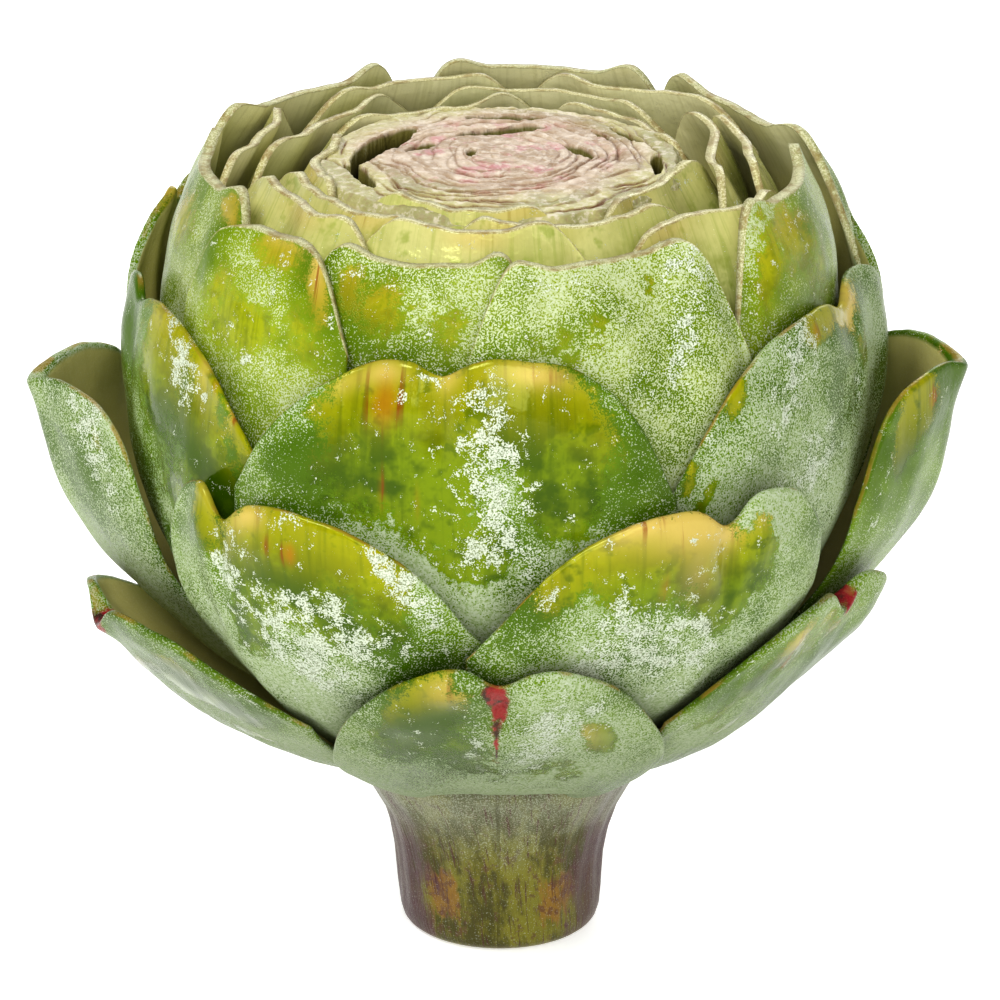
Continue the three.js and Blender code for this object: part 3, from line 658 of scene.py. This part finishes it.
def waxy_skin(name, bare, under, within, soft):
    """A bract's skin. Bare skin is glossy, mottled, streaked and yellower towards the tip; elsewhere a veil
    of fine grains covers a duller green, and white chips of thicker bloom lie over both. The margin is tan
    in places, and the inner face olive, painted darker down from its top edge as shade in the gap behind the
    next leaf. Low on the head the whole skin is painted darker as shade, most below 26 mm."""
    bare_deep, bare_light, tip_tone = bare
    under_deep, under_light, powder = under
    # The second inner tone is a darker olive that the inner face is painted towards further down, as shade
    # in the gap behind the next leaf.
    within_top, olive_and_shade_within = within
    n = Nodes(name)
    spot = n.add("ShaderNodeTexCoord").outputs["Object"]
    rubbed, bloom, tan, red = n.layer("paint")
    across, up, edge, seed = n.layer("where")
    outside, below_top, veil, height = n.layer("side")
    broad = n.noise(spot, 60, 4, 0.6)
    mottle = n.noise(spot, 300, 3, 0.6)
    clump = n.noise(spot, 420, 9, 0.72)
    grain = n.noise(spot, 4600, 1, 0.6)
    dust = n.noise(spot, 2300, 3, 0.7)
    rough_clump = n.math("SUBTRACT", clump, 0.5)
    rough_grain = n.math("SUBTRACT", grain, 0.5)
    wiped = n.step(plus(n, rubbed, (rough_clump, 1.9), (rough_grain, 0.9)), 0.34 - soft, 0.5 + soft)
    chips = n.step(plus(n, (bloom, 0.4), (rough_clump, 2.4), (rough_grain, 0.9)), 0.35, 0.4)
    cover = n.math("SUBTRACT", 1.0, wiped)
    uneven = n.math("MULTIPLY", cover, n.math("SUBTRACT", broad, 0.5))
    share = plus(n, (cover, veil), (uneven, 2.0), (wiped, -0.22), 0.02)
    grains = n.step(plus(n, grain, (share, 0.42)), 0.67, 0.74)
    stretch = n.add("ShaderNodeCombineXYZ")
    n.feed(stretch.inputs[0], n.math("MULTIPLY", across, 60.0))
    n.feed(stretch.inputs[1], n.math("MULTIPLY", up, 4.0))
    n.feed(stretch.inputs[2], n.math("MULTIPLY", seed, 50.0))
    streak = n.noise(stretch.outputs[0], 1.0, 3)
    skin = n.blend(n.step(plus(n, broad, (mottle, 0.5)), 0.66, 0.84), bare_deep, bare_light)
    skin = n.blend(n.math("MULTIPLY", n.step(up, 0.82, 1.0), 0.75), skin, tip_tone)
    skin = n.blend(n.math("MULTIPLY", n.step(mottle, 0.55, 0.68), 0.6), skin, bare_deep)
    skin = n.blend(n.math("MULTIPLY", n.step(streak, 0.48, 0.7), 0.4), skin, bare_deep)
    brown = n.math("MULTIPLY", n.step(streak, 0.56, 0.66), n.step(plus(n, red, (tan, 0.3)), 0.05, 0.4))
    skin = n.blend(n.math("MULTIPLY", tan, 0.8), skin, colour(200, 172, 96))
    skin = n.blend(n.math("MULTIPLY", n.step(red, 0.1, 0.7), 0.6), skin, colour(168, 92, 18))
    skin = n.blend(n.math("MULTIPLY", brown, 0.8), skin, colour(120, 40, 12))
    under = n.blend(n.step(broad, 0.36, 0.64), under_deep, under_light)
    face = n.blend(wiped, under, skin)
    dusty = n.blend(n.step(dust, 0.38, 0.58), n.blend(0.55, powder, under_light), powder)
    face = n.blend(n.math("MULTIPLY", grains, 0.9), face, dusty)
    white = n.blend(n.step(grain, 0.32, 0.62), colour(118, 128, 100), colour(204, 211, 194))
    face = n.blend(n.math("MULTIPLY", chips, 0.92), face, white)
    dark = n.step(plus(n, red, (rough_clump, 1.2)), 0.72, 0.95)
    # Painted shade: below 62 mm up the head the skin is darkened, up to halfway towards near-black green at
    # 26 mm and below.
    face = n.blend(height, n.blend(0.5, face, colour(24, 34, 8)), face)
    face = n.blend(dark, face, n.blend(n.step(mottle, 0.44, 0.56), colour(134, 16, 38), colour(54, 20, 28)))
    rim = n.math("SUBTRACT", 1.0, n.step(plus(n, edge, (rough_clump, 0.05)), 0.004, 0.02))
    rim = n.math("MULTIPLY", rim, n.step(n.noise(spot, 200, 2), 0.47, 0.64))
    face = n.blend(n.math("MULTIPLY", rim, 0.7), face, colour(140, 110, 44))
    # Olive and painted shade: the inner face goes from its top tone to the darker olive over 12 mm down from
    # its top edge, into the gap.
    within = n.blend(n.step(below_top, 0.0, 0.6), within_top, olive_and_shade_within)
    within = n.blend(n.math("MULTIPLY", n.step(streak, 0.45, 0.7), 0.25), within, olive_and_shade_within)
    within = n.blend(n.math("MULTIPLY", n.step(grain, 0.56, 0.7), 0.25), within, colour(210, 208, 168))
    face = n.blend(outside, within, face)
    n.feed(n.skin.inputs["Base Color"], face)
    dull = n.math("MAXIMUM", n.math("MAXIMUM", chips, grains), n.math("SUBTRACT", 1.0, outside))
    n.feed(n.skin.inputs["Roughness"], plus(n, 0.15, (dull, 0.48), (cover, 0.1)))
    n.skin.inputs["Specular IOR Level"].default_value = 0.36
    n.skin.inputs["Specular Tint"].default_value = (0.9, 1.0, 0.35, 1.0)
    lumps = n.math("MULTIPLY", mottle, n.step(up, 0.7, 1.0))
    rough = n.math("MULTIPLY", clump, n.math("MAXIMUM", cover, chips))
    n.bump(plus(n, (grains, 0.25), (chips, 0.6), (rough, 0.6), (streak, 0.25), (lumps, 1.2)), 0.5, 0.0003)
    return n, face, grain, clump, below_top


def bract_skin():
    """The whole bracts: saturated green where wiped."""
    bare = colour(50, 76, 0), colour(104, 124, 0), colour(154, 150, 4)
    under = colour(60, 90, 2), colour(100, 130, 6), colour(176, 186, 160)
    within = colour(196, 188, 122), colour(184, 176, 104)
    return waxy_skin("bract_skin", bare, under, within, 0.06)[0].material


def crown_skin():
    """The sliced outer bracts: paler and more evenly dusted, with a raw upper edge."""
    bare = colour(98, 110, 2), colour(144, 152, 14), colour(160, 142, 34)
    under = colour(84, 110, 4), colour(134, 152, 24), colour(188, 197, 162)
    within = colour(238, 233, 190), colour(176, 170, 106)
    n, *rest = waxy_skin("crown_skin", bare, under, within, 0.16)
    raw_edge(n, *rest, colour(150, 148, 100), colour(208, 206, 170), colour(132, 108, 58))
    return n.material


def inner_skin():
    """The pale inner leaves: yellow-green outside, olive inside, with a raw upper edge."""
    bare = colour(130, 146, 52), colour(188, 192, 122), colour(194, 188, 124)
    under = colour(132, 150, 44), colour(186, 194, 96), colour(228, 231, 190)
    within = colour(240, 235, 192), colour(180, 174, 110)
    n, *rest = waxy_skin("inner_skin", bare, under, within, 0.2)
    raw_edge(n, *rest, colour(156, 148, 98), colour(212, 206, 166), colour(134, 108, 62))
    return n.material


def raw_edge(n, face, grain, clump, below_top, deep, light, brown):
    """Paints a thin line below a cut, and the cut itself: two tones of grain, browner in places."""
    raw = n.math("SUBTRACT", 1.0, n.step(below_top, 0.002, 0.016))
    cut = n.blend(n.step(grain, 0.35, 0.65), deep, light)
    cut = n.blend(n.math("MULTIPLY", n.step(clump, 0.47, 0.6), 0.8), cut, brown)
    n.feed(n.skin.inputs["Base Color"], n.blend(n.math("MULTIPLY", raw, 0.85), face, cut))


# The slots that gape between the heart's leaves: radius and bearing of the middle, half length in degrees,
# half width in mm, and how the radius grows along the slot, once and squared.
SLOTS = [
    (15.5, 252, 29, 1.9, 1.0, 1.8),
    (10.8, 248, 13, 0.9, 0.75, 0.0),
    (9.9, 184, 32, 1.5, -1.4, 1.0),
    (16.0, 177, 18, 1.3, 0.2, 0.3),
    (3.7, 259, 24, 0.7, 0.0, 0.0),
    (10.2, 103, 18, 1.0, -0.95, 0.0),
    (15.4, 124, 8, 0.6, 0.0, 0.0),
    (18.9, 119, 11, 0.8, -0.45, 0.0),
    (19.8, 82, 11, 0.7, 0.0, 0.3),
    (19.2, 292, 16, 1.0, 0.3, 0.3),
]
SLOT_DEPTH = 7.0
HEART_RINGS = 150
HEART_TURNS = 440
HEART_RADIUS = 21.9
HEART_LEAVES = 44
HEART_WALL_RINGS = 13
HEART_UNDERSIDE_Z = 80.0
GOLDEN_TURN = 137.5


def heart_relief(r, bearing):
    """Depth in mm below the cut of the heart's sliced face, how deep in a seam and in a slot each place is,
    and a tone for each leaf. Leaves follow one another by the golden turn, each an arc that bends inwards at
    its ends. Just outside an arc the face steps down and rises again, and slots gape between some leaves."""
    spot = turned(r, np.radians(bearing), 0.0).reshape(-1, 3)

    def uneven(scale, number):
        """Noise over the face, with cells of scale mm."""
        return lattice_noise(spot, scale, number).reshape(r.shape)

    warp = uneven(6.5, 31) * 1.7 + uneven(2.4, 32) * 0.4
    fade = 0.5 + 0.9 * uneven(4.0, 33)
    rough = 0.3 + 0.7 * smooth_step(3, 13, r)
    random = np.random.default_rng(4)
    depth = 0.2 + 0.12 * uneven(0.8, 6) + 0.2 * uneven(5.0, 7)
    seam = np.zeros_like(r)
    layer = np.zeros_like(r)
    for k in range(HEART_LEAVES):
        share = (k + 1) / HEART_LEAVES
        middle = k * GOLDEN_TURN + random.uniform(-9, 9)
        half = 60 + 50 * (1 - share)
        along = ((bearing - middle + 180) % 360 - 180) / half
        present = np.clip(1 - along**4, 0, 1) * (np.abs(along) < 1)
        outside = r + warp - (HEART_RADIUS * share**0.85 - 1.8 * along**2)
        strength = present * np.clip(fade + random.uniform(-0.25, 0.25), 0.08, 1)
        valley = np.exp(-((outside / 0.15) ** 2)) * strength
        seam = np.maximum(seam, valley)
        fall = strength * np.exp(-np.maximum(outside, 0) / 0.6) * (outside > 0)
        depth += (0.26 * valley + 0.3 * fall) * rough
        layer += present * smooth_step(-0.05, 0.05, outside)
    leaf_at = np.stack([layer * 1.7, bearing / 70, np.zeros_like(r)], -1).reshape(-1, 3)
    tone = 0.5 + 0.5 * lattice_noise(leaf_at, 1.0, 9)
    slot = np.zeros_like(r)
    for radius, middle, half_length, half_width, slope, bend in SLOTS:
        along = ((bearing - middle + 180) % 360 - 180) / half_length
        width = half_width * np.sqrt(np.clip(1 - along**2, 0, 1))
        aside = np.abs(r + warp * 0.35 - radius - slope * along - bend * along**2)
        slot = np.maximum(slot, smooth_step(width + 0.1, width - 0.2, aside) * (np.abs(along) < 1))
    return depth + slot * SLOT_DEPTH, seam, slot, tone.reshape(r.shape)


def heart_piece(material):
    """The heart as one closed skin: rings of points over the sliced face with the relief of its leaves, a
    wavy outer wall down to the core, and a closed underside."""
    t = np.linspace(0, 1, HEART_RINGS)
    bearing = np.linspace(0, 360, HEART_TURNS, endpoint=False)
    turn = np.radians(bearing)
    circle = turned(1.0, turn, 0.0)
    rim = HEART_RADIUS + 1.3 * (1 + np.cos(turn)) + 0.5 * lattice_noise(circle * 3, 1.0, 8)
    rim += 0.35 * lattice_noise(circle * 12, 1.0, 9)
    r = np.maximum(t[:, None], 0.004) * rim[None, :]
    depth, seam, slot, leaf_tone = heart_relief(r, np.repeat(bearing[None, :], HEART_RINGS, 0))
    edge = smooth_step(0.965, 1.0, t)[:, None]
    z = CUT_Z - depth - 0.8 * edge + 0.6 * (1 - (r / HEART_RADIUS) ** 2)
    down = np.linspace(0, 1, HEART_WALL_RINGS + 1)[1:, None]
    wall_r = rim[None, :] * (1 + 0.16 * down)
    wall_z = z[-1:] + (HEART_UNDERSIDE_Z - z[-1:]) * down
    under_r = np.array([0.5, 0.004])[:, None] * wall_r[-1:]
    grid = np.concatenate(
        [turned(r, turn, z), turned(wall_r, turn, wall_z), turned(under_r, turn, HEART_UNDERSIDE_Z)]
    )
    rows = len(grid)
    points = grid.reshape(-1, 3)
    points = np.concatenate([points, [points[:HEART_TURNS].mean(0)], [points[-HEART_TURNS:].mean(0)]])
    top, bottom = len(points) - 2, len(points) - 1
    last = (rows - 1) * HEART_TURNS
    faces = ring_faces(rows, HEART_TURNS)
    caps = np.concatenate([fan(top, 0, HEART_TURNS), fan(bottom, last, HEART_TURNS)[:, ::-1]])
    pad = np.zeros((rows - HEART_RINGS, HEART_TURNS))
    front = 0.5 + 0.5 * np.cos(turn) * r / HEART_RADIUS
    blank = np.zeros_like(r)

    def padded(fields, ends):
        """Fields over the sliced face, with nothing on the wall and the given values at the two centres."""
        return np.stack([np.append(np.concatenate([field, pad]).ravel(), ends) for field in fields], -1)

    layers = {
        "tone": padded((seam, slot, r / 25, leaf_tone), [0, 0]),
        "side": padded((blank + 1, front, blank, blank), [1, 0]),
    }
    chart = points[:, :2] / 60 + 0.5
    new_triangled("heart_leaves", points, faces, caps, "heart", material, layers, chart)


def new_triangled(name, points, quads, triangles, node, material, layers, chart):
    """A piece of quads with a few triangles, all given as triangles."""
    split = np.concatenate([quads[:, [0, 1, 2]], quads[:, [0, 2, 3]], triangles])
    new_piece(name, points, split, node, material, layers, chart)


def heart_skin():
    """Sliced heart: cream and tan with rose stains in the middle, greener outwards and brown seams; the
    slots are painted from olive at their edges to near black deeper in, as shade. Its outer wall is pale
    green."""
    n = Nodes("heart_skin")
    spot = n.add("ShaderNodeTexCoord").outputs["Object"]
    seam, slot, radius, tone = n.layer("tone")
    top, front, _, _ = n.layer("side")
    broad = n.noise(spot, 130, 3)
    blotch = n.noise(spot, 260, 3, 0.6)
    clump = n.noise(spot, 800, 4, 0.65)
    grain = n.noise(spot, 2800, 2, 0.7)
    base = n.blend(n.step(tone, 0.25, 0.75), colour(196, 176, 152), colour(166, 142, 114))
    rough_broad = n.math("SUBTRACT", broad, 0.5)
    outward = n.step(plus(n, radius, (front, 0.2), (rough_broad, 0.5)), 0.62, 0.95)
    greener = n.blend(n.step(tone, 0.3, 0.7), colour(180, 178, 112), colour(148, 150, 94))
    base = n.blend(n.math("MULTIPLY", outward, 0.8), base, greener)
    rose = n.math("MULTIPLY", n.step(blotch, 0.5, 0.64), n.math("SUBTRACT", 1.0, n.step(radius, 0.35, 0.8)))
    base = n.blend(n.math("MULTIPLY", rose, 0.7), base, colour(190, 120, 128))
    base = n.blend(n.math("MULTIPLY", n.step(clump, 0.5, 0.64), 0.55), base, colour(226, 214, 196))
    base = n.blend(n.math("MULTIPLY", n.step(clump, 0.5, 0.34), 0.4), base, colour(150, 124, 98))
    base = n.blend(n.math("MULTIPLY", seam, n.math("ADD", 0.4, radius)), base, colour(112, 78, 50))
    # Painted shade: inside the slots the colour goes from olive at the edges to near black deeper in.
    slot_painted_shade = n.blend(n.step(slot, 0.1, 0.6), colour(104, 98, 46), colour(44, 38, 16))
    base = n.blend(n.step(slot, 0.01, 0.1), base, slot_painted_shade)
    base = n.blend(top, colour(178, 182, 108), base)
    n.feed(n.skin.inputs["Base Color"], base)
    n.skin.inputs["Roughness"].default_value = 0.42
    n.skin.inputs["Specular IOR Level"].default_value = 0.3
    n.bump(plus(n, clump, (grain, 0.6)), 0.5, 0.0003)
    return n.material


# The stem's outline, radius and height in mm, from the middle of its foot up to the top of the receptacle.
STEM_OUTLINE = [
    (0, 0.02), (6, 0.0), (10.6, 0.0), (11.8, 0.25), (12.6, 0.9), (13.05, 2.4), (13.2, 6), (13.5, 10),
    (14.1, 13.5), (15.1, 16.8), (16.6, 19.6), (18.2, 22.3), (19.3, 24.1), (19.3, 25.4), (18.4, 27.0),
    (19.3, 31.8), (20.6, 36.5), (20.8, 41.5), (17, 46), (12, 52), (8, 53.6), (0, 53.7),
]
STEM_RINGS = 150
STEM_TURNS = 200


def stem_piece(material):
    """The stem's skin turned round its axis along the solid's outline, with shallow ribs that run up it, a
    slow unevenness and a rounded cut foot."""
    outline = np.array(STEM_OUTLINE)
    length = np.concatenate([[0], np.cumsum(np.hypot(*np.diff(outline, axis=0).T))])
    at = np.linspace(0, length[-1], STEM_RINGS)
    r = np.interp(at, length, outline[:, 0])
    z = np.interp(at, length, outline[:, 1])
    bearing = np.linspace(0, 360, STEM_TURNS, endpoint=False)
    turn = np.radians(bearing)
    ribs = 0.16 * np.sin(turn * 11 + 1.3 * np.sin(turn * 3)) + 0.1 * np.sin(turn * 23 + 0.7)
    skin = smooth_step(1.5, 6, z) * smooth_step(26, 22, z)
    spot = turned(r[:, None], turn, z[:, None]).reshape(-1, 3)
    rough = lattice_noise(spot * [1, 1, 0.35], 4.0, 77).reshape(STEM_RINGS, STEM_TURNS) * 0.28
    wide = np.maximum(r[:, None] + skin[:, None] * (ribs[None, :] + rough), 0.002)
    grid = turned(wide, turn, z[:, None])
    points = np.concatenate([grid.reshape(-1, 3), [[0, 0, z[0]], [0, 0, z[-1]]]])
    bottom, top = len(points) - 2, len(points) - 1
    last = (STEM_RINGS - 1) * STEM_TURNS
    quads = ring_faces(STEM_RINGS, STEM_TURNS)[:, [0, 3, 2, 1]]
    caps = np.concatenate([fan(bottom, 0, STEM_TURNS)[:, ::-1], fan(top, last, STEM_TURNS)])
    up = np.append(np.repeat(z / 30, STEM_TURNS), [0, 1])
    round_ = np.append(np.tile(bearing / 360, STEM_RINGS), [0, 0])
    aside = np.abs(np.sin(np.radians(round_ * 360)))
    purple_zone = smooth_step(0.4, 1.0, aside)
    ochre_zone = np.exp(-(((aside - 0.55) / 0.2) ** 2) - ((up - 0.24) / 0.14) ** 2)
    tone = np.stack([up, round_, purple_zone, ochre_zone], -1)
    chart = np.stack([round_, up], -1)
    new_triangled("stem_skin", points, quads, caps, "stem", material, {"tone": tone}, chart)


def stem_surface():
    """Stem skin: olive below and bloomed above, purple towards the sides, with ochre patches near the foot,
    all broken up by fibres that run up it, slightly aslant, the thinnest of them dark."""
    n = Nodes("stem_surface")
    spot = n.add("ShaderNodeTexCoord").outputs["Object"]
    up, round_, purple_zone, ochre_zone = n.layer("tone")
    broad = n.noise(spot, 110, 3)
    mottle = n.noise(spot, 600, 4, 0.65)
    grain = n.noise(spot, 5200, 1, 0.6)
    thin = n.add("ShaderNodeCombineXYZ")
    n.feed(thin.inputs[0], plus(n, (round_, 250.0), (up, 9.0)))
    n.feed(thin.inputs[1], n.math("MULTIPLY", up, 5.0))
    streak = n.noise(thin.outputs[0], 1.0, 3, 0.6)
    wide = n.add("ShaderNodeCombineXYZ")
    n.feed(wide.inputs[0], plus(n, (round_, 70.0), (up, 2.5)))
    n.feed(wide.inputs[1], n.math("MULTIPLY", up, 5.0))
    fibre = n.noise(wide.outputs[0], 1.0, 4, 0.65)
    mixed = plus(n, broad, (mottle, 0.5), (fibre, 0.6))
    base = n.blend(n.step(mixed, 0.92, 1.18), colour(70, 66, 18), colour(116, 112, 32))
    ochre = n.step(plus(n, ochre_zone, (fibre, 2.0), (mottle, 0.8)), 1.75, 2.15)
    base = n.blend(n.math("MULTIPLY", ochre, 0.6), base, colour(140, 90, 34))
    spots = n.step(plus(n, mottle, (ochre_zone, 0.08)), 0.56, 0.64)
    base = n.blend(n.math("MULTIPLY", spots, 0.6), base, colour(78, 42, 42))
    purple = n.step(plus(n, purple_zone, (fibre, 2.0), (mottle, 0.6)), 1.55, 2.1)
    base = n.blend(n.math("MULTIPLY", purple, 0.8), base, colour(82, 54, 62))
    above = n.step(plus(n, up, (broad, 0.5), (fibre, 0.3)), 0.8, 1.12)
    base = n.blend(n.math("MULTIPLY", above, 0.6), base, colour(108, 112, 86))
    base = n.blend(n.math("MULTIPLY", n.step(streak, 0.57, 0.64), 0.75), base, colour(74, 40, 38))
    veil = n.step(plus(n, grain, (above, 0.12)), 0.63, 0.7)
    base = n.blend(n.math("MULTIPLY", veil, 0.36), base, colour(184, 188, 168))
    low = n.math("SUBTRACT", 1.0, n.step(up, 0.0, 0.04))
    base = n.blend(n.math("MULTIPLY", low, 0.4), base, colour(150, 142, 96))
    n.feed(n.skin.inputs["Base Color"], base)
    n.skin.inputs["Roughness"].default_value = 0.34
    n.skin.inputs["Specular IOR Level"].default_value = 0.22
    n.bump(plus(n, streak, fibre, (grain, 0.3), (mottle, 0.6)), 0.5, 0.0004)
    return n.material


def floor_piece():
    """A wide pale floor, level up to 1.2 m behind the object and rising from there as 1.6 times the square
    of the distance past it."""
    depth = np.linspace(-3, 2.2, 60)
    height = np.where(depth > 1.2, (depth - 1.2) ** 2 * 1.6, 0)
    width = np.linspace(-3, 3, 20)
    x, y = np.meshgrid(width, depth, indexing="ij")
    z = np.repeat(height[None, :], len(width), 0)
    points = np.stack([x, y, z], -1).reshape(-1, 3)
    mesh = bpy.data.meshes.new("floor")
    mesh.from_pydata(points.tolist(), [], grid_faces(len(width), len(depth), 0)[:, ::-1].tolist())
    mesh.update()
    floor = bpy.data.objects.new("floor", mesh)
    n = Nodes("pale_floor")
    n.skin.inputs["Base Color"].default_value = (0.92, 0.92, 0.92, 1)
    n.skin.inputs["Roughness"].default_value = 0.9
    n.skin.inputs["Emission Color"].default_value = (1, 1, 1, 1)
    n.skin.inputs["Emission Strength"].default_value = FLOOR_GLOW
    floor.data.materials.append(n.material)
    bpy.context.scene.collection.objects.link(floor)


camera_and_light()
floor_piece()
bract_material = bract_skin()
crown_material = crown_skin()
inner_material = inner_skin()
for number, node_name in enumerate(sorted(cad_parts)):
    if node_name.startswith("inner_leaf"):
        leaf_piece(node_name, inner_material, number + 1, True, 64, 36)
    elif node_name.startswith("crown_bract"):
        leaf_piece(node_name, crown_material, number + 1, True, 76, 56)
    elif "bract" in node_name:
        leaf_piece(node_name, bract_material, number + 1, False, 84, 76)
heart_piece(heart_skin())
stem_piece(stem_surface())

bpy.context.view_layer.update()
